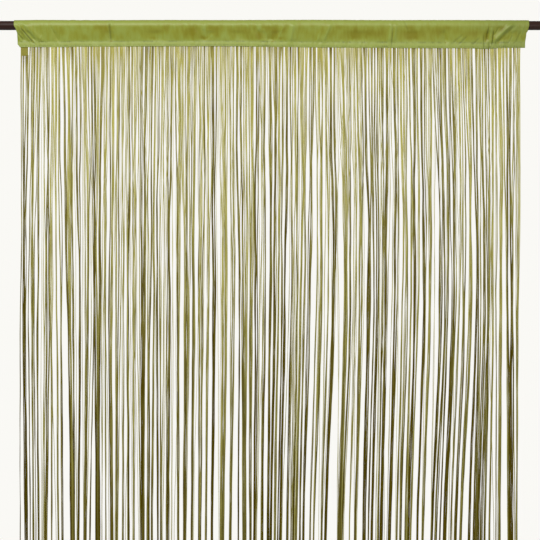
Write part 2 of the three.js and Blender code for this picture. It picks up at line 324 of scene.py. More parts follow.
CREASES = (
    Crease(-441, 1, -432, -13, 1.6, -0.9),
    Crease(-436, -8, -417, -29, 1.3, -1.4),
    Crease(-445, -13, -434, -24, 1.3, -1.1),
    Crease(-434, 3, -411, -26, 2.4, 0.7),
    Crease(-449, -8, -438, -26, 1.4, 0.6),
    Crease(-402, -18, -407, -27, 1.2, 0.5),
    Crease(-384, -6, -373, -27, 1.7, -0.7),
    Crease(-304, -3, -294, -25, 2.0, -0.5),
    Crease(-283, 0, -281, -25, 1.5, -1.0),
    Crease(-281, 7, -279, -2, 1.6, 0.9),
    Crease(-195, 0, -195, -6, 2.4, -0.4),
    Crease(-185, -6, -187, -25, 1.6, 0.4),
    Crease(-181, 0, -180, -8, 2.0, -0.4),
    Crease(-171, 1, -170, -4, 1.6, 0.4),
    Crease(-153, -1, -153, -6, 1.6, -0.5),
    Crease(-146, 1, -146, -5, 1.5, 0.4),
    Crease(-142, -10, -138, -26, 2.0, -0.5),
    Crease(-134, -1, -131, -10, 2.8, -0.5),
    Crease(-130, -8, -120, -27, 2.8, -0.7),
    Crease(-121, 1, -118, -8, 1.5, 0.9),
    Crease(-115, 1, -118, -8, 1.5, 0.7),
    Crease(-111, -25, -104, -18, 1.2, 0.5),
    Crease(-108, -1, -108, -7, 2.4, -0.5),
    Crease(-88, -1, -88, -6, 2.0, -0.4),
    Crease(-68, 1, -67, -6, 1.6, 0.4),
    Crease(-52, -1, -52, -7, 2.6, -0.4),
    Crease(-43, 3, -42, -4, 1.5, 0.5),
    Crease(-36, -1, -33, -10, 2.4, -0.5),
    Crease(-27, -8, -17, -29, 3.0, -0.8),
    Crease(-26, 1, -22, -8, 1.3, 0.8),
    Crease(-18, 1, -22, -8, 1.3, 0.8),
    Crease(-10, -13, -9, -25, 1.4, 0.6),
    Crease(-6, -8, 2, -30, 2.4, -0.7),
    Crease(-1, 2, -1, -4, 1.4, 0.4),
    Crease(8, -1, 6, -8, 2.4, -0.4),
    Crease(12, -10, 19, -29, 2.4, -0.6),
    Crease(20, -4, 10, -25, 1.3, 1.0),
    Crease(28, -1, 27, -8, 2.2, -0.5),
    Crease(37, -1, 31, -30, 3.4, 1.4),
    Crease(39, -10, 40, -36, 1.7, -0.7),
    Crease(85, -12, 79, -29, 1.2, 0.9),
    Crease(94, -4, 84, -28, 1.7, -0.5),
    Crease(102, -2, 90, -29, 1.6, 1.3),
    Crease(121, -1, 121, -6, 2.0, -0.3),
    Crease(166, -1, 167, -7, 2.0, -0.4),
    Crease(209, 3, 206, -27, 1.8, 0.9),
    Crease(212, -6, 210, -32, 1.0, -1.0),
    Crease(217, -2, 215, -28, 1.5, 0.8),
    Crease(222, 7, 225, -1, 1.2, 0.4),
    Crease(228, 8, 233, -1, 1.1, 0.4),
    Crease(231, 5, 238, -8, 1.3, -0.5),
    Crease(266, 8, 271, 1, 1.1, 0.4),
    Crease(274, 8, 278, 1, 1.1, 0.4),
    Crease(283, 7, 288, -1, 1.1, 0.4),
    Crease(302, -10, 305, -29, 2.0, -1.0),
    Crease(316, -30, 332, -18, 1.2, -0.6),
    Crease(371, -18, 372, -36, 1.2, -0.7),
    Crease(376, -22, 377, -39, 1.4, 0.6),
    Crease(381, -22, 381, -37, 1.2, -0.7),
    Crease(379, -6, 376, -24, 1.2, -0.9),
    Crease(384, -8, 381, -26, 1.5, 1.1),
    Crease(388, -12, 386, -29, 1.0, -1.5),
    Crease(398, -4, 390, -17, 1.6, -1.1),
    Crease(420, 2, 390, -27, 2.6, 1.1),
    Crease(424, -4, 397, -28, 2.2, -0.8),
    Crease(340, -20, 328, -31, 1.1, -0.8),
    Crease(362, -22, 352, -31, 1.1, -0.7),
    Crease(421, -18, 416, -27, 1.2, -0.5),
    Crease(434, -13, 428, -27, 1.4, -0.5),
    Crease(440, -3, 436, -20, 1.2, 0.5),
)

PATCHES = (
    Patch(-366, -14, 7, 8, 0.35),
    Patch(-342, -17, 6, 9, 0.45),
    Patch(-325, -20, 6, 4, 0.3),
    Patch(-298, -4, 14, 5, 0.7),
    Patch(-294, -11, 7, 7, 0.6),
    Patch(-276, -18, 5, 4, 0.4),
    Patch(-209, -11, 18, 9, 0.6),
    Patch(-207, -23, 6, 3, 0.5),
    Patch(-184, -6, 7, 7, 0.8),
    Patch(-166, -9, 5, 7, 0.5),
    Patch(-150, -12, 9, 11, 0.7),
    Patch(-137, -11, 9, 11, 0.9),
    Patch(-125, -21, 5, 5, 0.6),
    Patch(-118, -23, 6, 4, 0.8),
    Patch(-99, -6, 13, 6, 0.7),
    Patch(-99, -16, 8, 6, 0.6),
    Patch(-67, -12, 8, 10, 0.5),
    Patch(-43, -10, 11, 10, 0.7),
    Patch(-22, -18, 7, 9, 1.0),
    Patch(-9, -5, 8, 5, 0.7),
    Patch(5, -13, 7, 10, 0.9),
    Patch(22, -8, 7, 7, 0.7),
    Patch(16, -22, 5, 3, 0.9),
    Patch(60, -9, 16, 8, 0.35),
    Patch(86, -11, 7, 8, 0.5),
    Patch(105, -14, 6, 9, 0.6),
    Patch(119, -4, 7, 4, 0.5),
    Patch(143, -14, 16, 10, 0.8),
    Patch(180, -14, 26, 8, 0.85),
    Patch(241, -4, 6, 4, 0.6),
    Patch(247, -15, 22, 9, 1.0),
    Patch(290, -12, 14, 10, 0.7),
    Patch(308, -5, 5, 4, 0.6),
    Patch(320, -10, 14, 8, 0.4),
    Patch(351, -14, 17, 7, 0.65),
    Patch(377, -16, 6, 10, 0.8),
    Patch(402, -6, 8, 5, 0.7),
    Patch(407, -21, 8, 5, 0.5),
    Patch(425, -15, 7, 6, 0.5),
)

BUNCHES = (
    Bunch(-439, -440, 1, 1),
    Bunch(-433, -429, 6, 5),
    Bunch(-425, -423, 1, 1),
    Bunch(-419, -417, 3, 3),
    Bunch(-415, -413, 1, 1),
    Bunch(-411, -408, 3, 2),
    Bunch(-404, -402, 2, 1),
    Bunch(-392, -395, 6, 4),
    Bunch(-385, -385, 2, 2),
    Bunch(-376, -373, 3, 2),
    Bunch(-368, -366, 3, 2),
    Bunch(-351, -348, 9, 8),
    Bunch(-335, -338, 3, 4),
    Bunch(-322, -327, 5, 5),
    Bunch(-310, -318, 1, 2),
    Bunch(-305, -304, 8, 7),
    Bunch(-298, -297, 1, 1),
    Bunch(-292, -290, 2, 2),
    Bunch(-283, -280, 6, 4),
    Bunch(-270, -271, 5, 4),
    Bunch(-259, -260, 3, 2),
    Bunch(-252, -251, 4, 3),
    Bunch(-241, -241, 3, 4),
    Bunch(-227, -226, 8, 7),
    Bunch(-215, -216, 5, 3),
    Bunch(-207, -209, 4, 2),
    Bunch(-201, -199, 3, 2),
    Bunch(-194, -193, 4, 3),
    Bunch(-180, -182, 5, 4),
    Bunch(-172, -174, 1, 1),
    Bunch(-163, -163, 3, 4),
    Bunch(-149, -152, 5, 6),
    Bunch(-137, -139, 4, 4),
    Bunch(-124, -126, 6, 5),
    Bunch(-111, -115, 3, 3),
    Bunch(-101, -104, 4, 4),
    Bunch(-82, -87, 8, 6),
    Bunch(-67, -72, 4, 4),
    Bunch(-56, -58, 2, 2),
    Bunch(-48, -48, 8, 6),
    Bunch(-36, -37, 4, 4),
    Bunch(-26, -29, 6, 4),
    Bunch(-13, -17, 5, 3),
    Bunch(1, -4, 10, 7),
    Bunch(11, 6, 4, 2),
    Bunch(22, 14, 8, 5),
    Bunch(35, 28, 4, 2),
    Bunch(46, 39, 12, 7),
    Bunch(56, 50, 3, 2),
    Bunch(65, 56, 4, 4),
    Bunch(79, 68, 3, 1),
    Bunch(87, 74, 3, 4),
    Bunch(99, 87, 3, 3),
    Bunch(109, 95, 4, 5),
    Bunch(135, 121, 11, 9),
    Bunch(148, 136, 1, 2),
    Bunch(157, 147, 4, 5),
    Bunch(171, 162, 6, 4),
    Bunch(179, 170, 2, 2),
    Bunch(185, 176, 4, 3),
    Bunch(191, 183, 1, 1),
    Bunch(198, 190, 9, 6),
    Bunch(211, 202, 1, 1),
    Bunch(218, 207, 5, 4),
    Bunch(230, 219, 3, 2),
    Bunch(237, 226, 4, 3),
    Bunch(251, 239, 12, 7),
    Bunch(268, 256, 3, 4),
    Bunch(278, 265, 4, 4),
    Bunch(299, 281, 4, 4),
    Bunch(306, 288, 4, 3),
    Bunch(310, 295, 2, 2),
    Bunch(320, 304, 6, 5),
    Bunch(330, 314, 2, 2),
    Bunch(338, 322, 5, 3),
    Bunch(349, 331, 6, 4),
    Bunch(360, 346, 4, 2),
    Bunch(372, 361, 17, 8),
    Bunch(382, 374, 4, 2),
    Bunch(388, 382, 3, 2),
    Bunch(395, 393, 2, 2),
    Bunch(402, 399, 5, 3),
    Bunch(417, 418, 10, 7),
    Bunch(430, 429, 4, 4),
)


def by_stretch(table: tuple[Crease, ...]) -> dict[int, list[Crease]]:
    """Sorts creases into stretches along the rod, so that only near ones are looked at.

    Args:
        table: the creases.

    Returns:
        For each stretch's number, the creases that reach into it.
    """
    stretches: dict[int, list[Crease]] = {}
    for crease in table:
        low = min(crease.start_x, crease.end_x) - CREASE_REACH
        high = max(crease.start_x, crease.end_x) + CREASE_REACH
        for number in range(int(low // STRETCH), int(high // STRETCH) + 1):
            stretches.setdefault(number, []).append(crease)
    return stretches


CREASES_BY_STRETCH = by_stretch(CREASES)


def creased(x: float, z: float, widest: float = math.inf) -> float:
    """How far the small creases push the front wall towards the viewer at a place.

    Args:
        x: the place along the rod, in millimetres.
        z: its height on the folded strip.
        widest: creases that are wider than this are passed over.

    Returns:
        The push, in millimetres, below 0 in a trough.
    """
    near = CREASES_BY_STRETCH.get(int(x // STRETCH), [])
    return sum((crease.push(x, z) for crease in near if crease.wide <= widest), 0.0)


def read_table(table: tuple[EndPlace, ...] | tuple[HemPlace, ...], value: str, place: float) -> float:
    """Reads a table at a place, softly from one entry to the next.

    Args:
        table: its entries, in the order of their places.
        value: the name of the number that is wanted.
        place: where.

    Returns:
        The number there.
    """
    result = getattr(table[0], value)
    for before, after in zip(table, table[1:]):
        result = mix(result, getattr(after, value), ramp(before.at, after.at, place))
    return result


def hem_foot(x: float) -> float:
    """The height of the heading's foot at a place along the rod, in millimetres."""
    return read_table(HEM_LINE, "height", x)


class Wire:
    """A socket of a node tree, with the arithmetic that the finishes use."""

    def __init__(self, recipe: "Recipe", socket: bpy.types.NodeSocket) -> None:
        """Wraps one output socket."""
        self.recipe = recipe
        self.socket = socket

    def _math(self, operation: str, *values: "Wire | float") -> "Wire":
        """Adds a Math node.

        Args:
            operation: the node's operation.
            values: its inputs, in order.

        Returns:
            The node's result.
        """
        inputs = dict(enumerate(values))
        return self.recipe.node("ShaderNodeMath", {"operation": operation}, inputs)

    def __add__(self, other: "Wire | float") -> "Wire":
        """The sum."""
        return self._math("ADD", self, other)

    __radd__ = __add__

    def __mul__(self, other: "Wire | float") -> "Wire":
        """The product."""
        return self._math("MULTIPLY", self, other)

    __rmul__ = __mul__

    def __sub__(self, other: "Wire | float") -> "Wire":
        """The difference."""
        return self._math("SUBTRACT", self, other)

    def __rsub__(self, other: float) -> "Wire":
        """A number less this."""
        return self._math("SUBTRACT", other, self)

    def sine(self) -> "Wire":
        """The sine of this, in radians."""
        return self._math("SINE", self)


class Recipe:
    """One material's node tree, with a single method that adds nodes."""

    def __init__(self, name: str) -> None:
        """Makes an empty material.

        Args:
            name: the material's name.
        """
        self.material = bpy.data.materials.new(name)
        self.material.use_nodes = True
        self.tree = self.material.node_tree
        self.tree.nodes.clear()

    def node(
        self,
        kind: str,
        settings: dict[str, object] | None = None,
        inputs: dict[str | int, object] | None = None,
        output: str | int = 0,
    ) -> Wire:
        """Adds a node.

        Args:
            kind: the node's type.
            settings: its properties, or a colour ramp's stops under "stops".
            inputs: values or wires for its sockets.
            output: which of its outputs is wanted.

        Returns:
            That output.
        """
        made = self.tree.nodes.new(kind)
        for key, value in (settings or {}).items():
            if key == "stops":
                self._set_stops(made.color_ramp, value)
            else:
                setattr(made, key, value)
        for key, value in (inputs or {}).items():
            if isinstance(value, Wire):
                self.tree.links.new(value.socket, made.inputs[key])
            elif isinstance(value, tuple) and made.inputs[key].type == "RGBA":
                made.inputs[key].default_value = (*value, 1.0)
            else:
                made.inputs[key].default_value = value
        return Wire(self, made.outputs[output])

    @staticmethod
    def _set_stops(colour_ramp: bpy.types.ColorRamp, stops: list[tuple[float, Colour]]) -> None:
        """Gives a ramp its stops.

        Args:
            colour_ramp: the ramp, new and with two stops.
            stops: the place and the colour of each, in order.
        """
        while len(colour_ramp.elements) < len(stops):
            colour_ramp.elements.new(0.5)
        for element, (place, colour) in zip(colour_ramp.elements, stops, strict=True):
            element.position = place
            element.color = (*colour, 1.0)

    def part(self, vector: Wire, axis: str) -> Wire:
        """One coordinate of a vector."""
        return self.node("ShaderNodeSeparateXYZ", inputs={"Vector": vector}, output=axis)

    def attribute(self, name: str) -> Wire:
        """A number that the mesh carries at each of its points."""
        return self.node("ShaderNodeAttribute", {"attribute_name": name}, output="Fac")

    def grain(self, place: Wire, scale: float, detail: float = 2.0) -> Wire:
        """Soft noise from 0 to 1, with this many patches to a metre of the place."""
        inputs = {"Vector": place, "Scale": scale, "Detail": detail}
        return self.node("ShaderNodeTexNoise", inputs=inputs)

    def relief(self, height: Wire, depth: float, strength: float) -> Wire:
        """A bump that is this many metres deep where the height rises by 1."""
        inputs = {"Strength": strength, "Distance": depth, "Height": height}
        return self.node("ShaderNodeBump", inputs=inputs)

    def blend(self, share: Wire | float, first: Wire | Colour, second: Wire | Colour) -> Wire:
        """Mixes two colours."""
        inputs = {"Factor": share, MIX_FIRST: first, MIX_SECOND: second}
        return self.node("ShaderNodeMix", {"data_type": "RGBA"}, inputs, MIX_RESULT)

    def finish(
        self,
        colour: Wire | Colour,
        roughness: Wire | float,
        specular: float = 0.5,
        normal: Wire | None = None,
    ) -> bpy.types.Material:
        """Ends the tree in a Principled shader and the material's output.

        Args:
            colour: the base colour.
            roughness: from 0 to 1.
            specular: how strongly the surface reflects, where 0.5 is usual.
            normal: its relief.

        Returns:
            The material.
        """
        inputs = {"Base Color": colour, "Roughness": roughness, "Specular IOR Level": specular}
        if normal:
            inputs["Normal"] = normal
        shader = self.node("ShaderNodeBsdfPrincipled", inputs=inputs)
        output = self.tree.nodes.new("ShaderNodeOutputMaterial")
        self.tree.links.new(shader.socket, output.inputs["Surface"])
        return self.material


@dataclass(frozen=True)
class PaintedRod:
    """Dark brown satin paint over a drawn steel tube."""

    body: Colour = (0.022, 0.0075, 0.0045)
    worn: Colour = (0.034, 0.013, 0.009)
    roughness: float = 0.34
    roughness_change: float = 0.16
    streaks_per_m: tuple[float, float, float] = (4.0, 160.0, 160.0)
    peel_per_m: float = 900.0

    def material(self) -> bpy.types.Material:
        """Makes the paint, with faint streaks along the rod and a fine orange peel.

        Returns:
            The material.
        """
        recipe = Recipe("rod_paint")
        place = recipe.node("ShaderNodeTexCoord", output="Object")
        drawn = recipe.node("ShaderNodeMapping", inputs={"Vector": place, "Scale": self.streaks_per_m})
        streaks = recipe.grain(drawn, 1.0, detail=3.0)
        peel = recipe.grain(place, self.peel_per_m)
        return recipe.finish(
            colour=recipe.blend(streaks, self.body, self.worn),
            roughness=streaks * self.roughness_change + self.roughness,
            specular=0.22,
            normal=recipe.relief(peel, depth=0.0002, strength=0.12),
        )


@dataclass(frozen=True)
class SatinCloth:
    """Moss green satin: a close weave with a soft sheen, deeper and browner in patches."""

    light: Colour = (0.258, 0.308, 0.05)
    middle: Colour = (0.235, 0.255, 0.022)
    deep: Colour = (0.192, 0.178, 0.002)
    shadow: Colour = (0.05, 0.06, 0.004)
    patch_share: float = 0.85
    cloud_share: float = 0.4
    fleck_share: float = 0.2
    tone_start: float = 0.18
    clouds_per_m: float = 90.0
    cloud_draw: tuple[float, float, float] = (1.0, 0.35, 1.0)
    flecks_per_m: float = 520.0
    threads_per_m: float = 2200.0
    threads_a_step: int = 5
    thread_share: float = 0.35
    roughness: float = 0.4
    roughness_change: float = 0.1

    def material(self) -> bpy.types.Material:
        """Makes the cloth from the sheet's own UV map, which is in metres of the flat cut.

        Returns:
            The material.
        """
        recipe = Recipe("heading_satin")
        flat = recipe.node("ShaderNodeUVMap", {"uv_map": "flat"})
        drawn = recipe.node("ShaderNodeMapping", inputs={"Vector": flat, "Scale": self.cloud_draw})
        clouds = recipe.grain(drawn, self.clouds_per_m, detail=4.0)
        flecks = recipe.grain(flat, self.flecks_per_m)
        # The patch value carries painted shade on the top edge and a painted highlight on ridges, besides the
        # patches
        depth = recipe.attribute("patch") * self.patch_share + clouds * self.cloud_share
        tone = recipe.node(
            "ShaderNodeValToRGB",
            {"stops": [(0.1, self.light), (0.5, self.middle), (1.0, self.deep)]},
            {"Fac": depth + flecks * self.fleck_share - self.tone_start},
        )
        along = recipe.part(flat, "X")
        across = recipe.part(flat, "Y")
        turns = math.tau * self.threads_per_m
        threads = (along * turns).sine()
        steps = ((across * 0.5 + along) * (turns / self.threads_a_step)).sine()
        weave = threads * self.thread_share + steps * (1 - self.thread_share)
        # The painted shade that the heading carries draws the cloth towards the shadow colour
        return recipe.finish(
            colour=recipe.blend(recipe.attribute("painted_shade"), tone, self.shadow),
            roughness=flecks * self.roughness_change + self.roughness,
            specular=0.4,
            normal=recipe.relief(weave * 0.6 + flecks, depth=0.00015, strength=0.3),
        )


@dataclass(frozen=True)
class Yarn:
    """Khaki olive yarn of two plies, with painted shade: paler at the curtain's top, deeper in the bunches
    below.
    """

    pale: Colour = (0.61, 0.565, 0.16)
    deep: Colour = (0.112, 0.081, 0.002)
    ply_pitch: float = 3.2
    ply_shade: float = 0.22
    fibres_per_m: float = 2500.0
    roughness: float = 0.6
    roughness_change: float = 0.2

    def material(self) -> bpy.types.Material:
        """Makes the yarn from its height, the turn round it in its UV map and its depth of colour with
        painted shade.

        Returns:
            The material.
        """
        recipe = Recipe("yarn")
        place = recipe.node("ShaderNodeTexCoord", output="Object")
        around = recipe.part(recipe.node("ShaderNodeUVMap", {"uv_map": "UVMap"}), "Y")
        turns = around * 2 + recipe.part(place, "Z") * (1 / (self.ply_pitch * MM))
        plies = (turns * math.tau).sine()
        fibres = recipe.grain(place, self.fibres_per_m)
        colour = recipe.blend(recipe.attribute("tone"), self.pale, self.deep)
        # Painted shade in the grooves between the plies
        between_plies = 1 - (plies * 0.5 + 0.5)
        return recipe.finish(
            colour=recipe.blend(between_plies * self.ply_shade, colour, self.deep),
            roughness=fibres * self.roughness_change + self.roughness,
            specular=0.06,
            normal=recipe.relief(plies + fibres * 0.6, depth=0.0002, strength=0.5),
        )


@dataclass(frozen=True)
class WovenTape:
    """The olive tape that the yarns are woven into, with its ribs across."""

    thread: Colour = (0.30, 0.27, 0.03)
    shade: Colour = (0.17, 0.15, 0.008)
    ribs_per_m: float = 1250.0
    picks_per_m: float = 1625.0

    def material(self) -> bpy.types.Material:
        """Makes the tape's ribs and picks.

        Returns:
            The material.
        """
        recipe = Recipe("woven_tape")
        place = recipe.node("ShaderNodeTexCoord", output="Object")
        ribs = (recipe.part(place, "X") * (math.tau * self.ribs_per_m)).sine()
        picks = (recipe.part(place, "Z") * (math.tau * self.picks_per_m)).sine()
        weave = ribs * picks * 0.5 + 0.5
        return recipe.finish(
            colour=recipe.blend(weave, self.shade, self.thread),
            roughness=0.7,
            normal=recipe.relief(weave, depth=0.0003, strength=0.6),
        )


@dataclass(frozen=True)
class SewingThread:
    """Green thread of the two rows of stitches."""

    colour: Colour = srgb(158, 166, 84)
    shade: Colour = srgb(128, 138, 60)
    fibres_per_m: float = 1500.0

    def material(self) -> bpy.types.Material:
        """Makes the thread, slightly glossy.

        Returns:
            The material.
        """
        recipe = Recipe("sewing_thread")
        place = recipe.node("ShaderNodeTexCoord", output="Object")
        fibres = recipe.grain(place, self.fibres_per_m)
        return recipe.finish(colour=recipe.blend(fibres, self.colour, self.shade), roughness=0.45)


@dataclass(frozen=True)
class PaleFloor:
    """A plain pale floor."""

    colour: Colour = srgb(226, 228, 230)

    def material(self) -> bpy.types.Material:
        """Makes the floor's matt paint."""
        return Recipe("pale_floor").finish(colour=self.colour, roughness=0.9)


def add(name: str, data: bpy.types.ID) -> bpy.types.Object:
    """Adds an object to the scene.

    Args:
        name: its name.
        data: its mesh, camera or light.

    Returns:
        The object.
    """
    added = bpy.data.objects.new(name, data)
    bpy.context.scene.collection.objects.link(added)
    return added


def as_mesh(shape: bmesh.types.BMesh, name: str) -> bpy.types.Mesh:
    """Turns a finished bmesh into a mesh.

    Args:
        shape: the bmesh, which is freed.
        name: the mesh's name.

    Returns:
        The mesh.
    """
    mesh = bpy.data.meshes.new(name)
    shape.to_mesh(mesh)
    shape.free()
    return mesh


def place_piece(
    mesh: bpy.types.Mesh, name: str, material: bpy.types.Material
) -> bpy.types.Object:
    """Puts a finished mesh in the scene as a piece that rides on the curtain's one body.

    Args:
        mesh: the mesh, in metres in the row frame.
        name: the piece's name.
        material: its finish.

    Returns:
        The piece.
    """
    piece = add(name, mesh)
    mesh.materials.clear()
    mesh.materials.append(material)
    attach(piece, BODY)
    LOG.info("%s: %d faces", name, len(mesh.polygons))
    return piece


def thicken(piece: bpy.types.Object, thickness: float) -> None:
    """Gives a sheet its thickness, half of it to each side.

    Args:
        piece: the sheet.
        thickness: in millimetres.
    """
    wall = piece.modifiers.new("thickness", "SOLIDIFY")
    wall.thickness = thickness * MM
    wall.offset = 0.0


def sweep(
    name: str, lines: list[np.ndarray], radius: float, swells: list[np.ndarray] | None = None
) -> bpy.types.Mesh:
    """Makes round threads along many lines as one mesh.

    Args:
        name: the mesh's name.
        lines: each line's points, in metres.
        radius: the threads' radius, in millimetres. They are drawn in at both ends.
        swells: for each line, how many times this radius it has at each point.

    Returns:
        A mesh with its vertices line by line and ring by ring.
    """
    curve = bpy.data.curves.new(name, "CURVE")
    curve.dimensions = "3D"
    curve.bevel_depth = radius * MM
    # A round bevel of resolution 0 has four sides, and each step adds two
    curve.bevel_resolution = (THREAD_SIDES - 4) // 2
    for i, line in enumerate(lines):
        spline = curve.splines.new("POLY")
        spline.points.add(len(line) - 1)
        spline.points.foreach_set("co", np.column_stack([line, np.ones(len(line))]).ravel())
        if swells:
            spline.points.foreach_set("radius", swells[i])
        spline.points[0].radius = THREAD_TIP
        spline.points[-1].radius = THREAD_TIP
        spline.use_smooth = True
    holder = bpy.data.objects.new(name, curve)
    mesh = bpy.data.meshes.new_from_object(holder)
    bpy.data.objects.remove(holder)
    bpy.data.curves.remove(curve)
    mesh.name = name
    return mesh


@dataclass
class Rod:
    """The painted rod, in millimetres."""

    radius: float = 8.0
    length: float = 1100.0
    sides: int = 64
    edge: float = 0.6

    def build(self, paint: PaintedRod) -> None:
        """Makes the rod as a round bar with softened ends, which stands for the CAD rod.

        Args:
            paint: its finish.
        """
        shape = bmesh.new()
        bmesh.ops.create_cone(
            shape,
            cap_ends=True,
            segments=self.sides,
            radius1=self.radius * MM,
            radius2=self.radius * MM,
            depth=self.length * MM,
            matrix=Matrix.Rotation(math.pi / 2, 4, "Y"),
        )
        rims = [edge for edge in shape.edges if abs(edge.verts[0].co.x - edge.verts[1].co.x) < MM]
        bmesh.ops.bevel(
            shape, geom=rims, offset=self.edge * MM, affect="EDGES", segments=3, profile=0.5, material=-1
        )
        for face in shape.faces:
            face.smooth = len(face.verts) == 4
        piece = place_piece(as_mesh(shape, "rod_bar"), "rod_bar", paint.material())
        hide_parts("rod")


class Side(Enum):
    """A wall of the heading: the viewer's side is towards -Y."""

    FRONT = -1
    BACK = 1


@dataclass(frozen=True)
class Stitching:
    """The rows of running stitches through the hem, in millimetres.

    "rows" are their heights, and "arch" is how far a stitch stands off the cloth at shares of its length.
    """

    rows: tuple[float, ...] = (-28.2, -35.2)
    length: float = 2.3
    gap: float = 1.5
    radius: float = 0.27
    end_margin: float = 12.0
    arch: tuple[tuple[float, float], ...] = ((0.0, 0.1), (0.25, 0.55), (0.75, 0.55), (1.0, 0.1))

    @property
    def step(self) -> float:
        """How far it is from one stitch to the next."""
        return self.length + self.gap

    def near(self, z: float, reach: float) -> float:
        """How near a height is to a row: 1 in the row, and fading over this reach."""
        return max(math.exp(-(((z - row) / reach) ** 2)) for row in self.rows)


@dataclass(frozen=True)
class ClothTones:
    """How the cloth's colour deepens over the rod, with its painted shade and highlight, in millimetres.

    Between "band_top" and "band_foot", with ragged edges, the cloth is deeper, and patches and upright
    strokes deepen it further. Painted shade lies on the top edge, in the troughs of sharp creases, at the
    stitches and towards the right end, and a painted highlight lies on the ridges. "right_end" is where the
    painted shade at the right sets in along the rod. Over the seam, between "right_pale_top" and
    "right_pale_foot", only "right_pale_share" of it is left.
    """

    band_top: Span = (5.0, -1.5)
    band_foot: Span = (-29.0, -23.0)
    band_depth: float = 0.25
    ragged_top: tuple[Grain, ...] = (Grain(9, math.inf, 5, 4), Grain(3, math.inf, 8, 3))
    ragged_foot: tuple[Grain, ...] = (Grain(7, math.inf, 17, 3), Grain(2.6, math.inf, 12, 2.5))
    band_raggedness: float = 0.8
    patch_raggedness: float = 0.5
    patch_depth: float = 0.85
    patch_limit: float = 1.1
    strokes: tuple[Grain, ...] = (Grain(3, 14, 3, 1), Grain(11, 14, 6, 1))
    stroke_depth: float = 0.3
    top_edge: Span = (4.5, 8.5)
    top_painted_shade: float = 0.35
    ridge_painted_highlight: float = 0.5
    crease_shade: float = 0.5
    sharp_crease: float = 1.5
    least_tight: float = 0.4
    tightness: tuple[Grain, ...] = (Grain(23, math.inf, 31, 1), Grain(3, 3, 37, 1))
    stitch_reach: float = 1.2
    stitch_least: float = 0.4
    stitch_shade: float = 0.7
    right_end: Span = (310.0, 430.0)
    right_pale_top: Span = (-10.0, -18.0)
    right_pale_foot: Span = (-30.0, -26.0)
    right_pale_share: float = 0.25
    right_shade: float = 0.22

    def patch(self, x: float, z: float) -> float:
        """How deep the cloth's colour is at a place of the front wall, painted shade and highlight included.

        Args:
            x: the place along the rod, in millimetres.
            z: its height on the folded strip.

        Returns:
            From 0 to 1.
        """
        ragged = uneven(self.ragged_top, x)
        top = ramp(*self.band_top, z + self.band_raggedness * ragged)
        band = top * ramp(*self.band_foot, z + uneven(self.ragged_foot, x))
        patches = sum(patch.depth(x, z + self.patch_raggedness * ragged) for patch in PATCHES)
        depth = self.band_depth + self.patch_depth * min(patches, self.patch_limit)
        colour = band * (depth + self.stroke_depth * uneven(self.strokes, x, z))
        # Painted shade on the top edge, where the cloth turns away from the light
        colour += ramp(*self.top_edge, z) * self.top_painted_shade
        # Painted highlight: the ridges of the creases are made paler
        return min(1.0, max(0.0, colour - self.ridge_painted_highlight * max(0.0, creased(x, z))))

    def painted_shade(self, x: float, z: float, stitching: Stitching) -> float:
        """How much painted shade darkens a place: in sharp creases, in the stitches' hollows and at the right
        end.

        Args:
            x: the place along the rod, in millimetres.
            z: its height on the folded strip.
            stitching: the rows of stitches.

        Returns:
            From 0 to 1.
        """
        # Painted shade in the troughs of the sharp creases
        crease = max(0.0, -creased(x, z, self.sharp_crease)) * self.crease_shade
        # Painted shade in the hollows at the stitches, stronger where the thread pulls tight
        tight = max(0.0, self.least_tight + uneven(self.tightness, x, z))
        between = 0.5 + 0.5 * math.cos(math.tau * x / stitching.step)
        pulled = tight * mix(self.stitch_least, 1.0, between)
        seam = stitching.near(z, self.stitch_reach) * pulled * self.stitch_shade
        # Painted shade towards the right end, weaker over the seam
        pale = mix(1.0, self.right_pale_share, ramp(*self.right_pale_top, z) * ramp(*self.right_pale_foot, z))
        right = self.right_shade * ramp(*self.right_end, x) * pale
        return min(1.0, crease + seam + right)


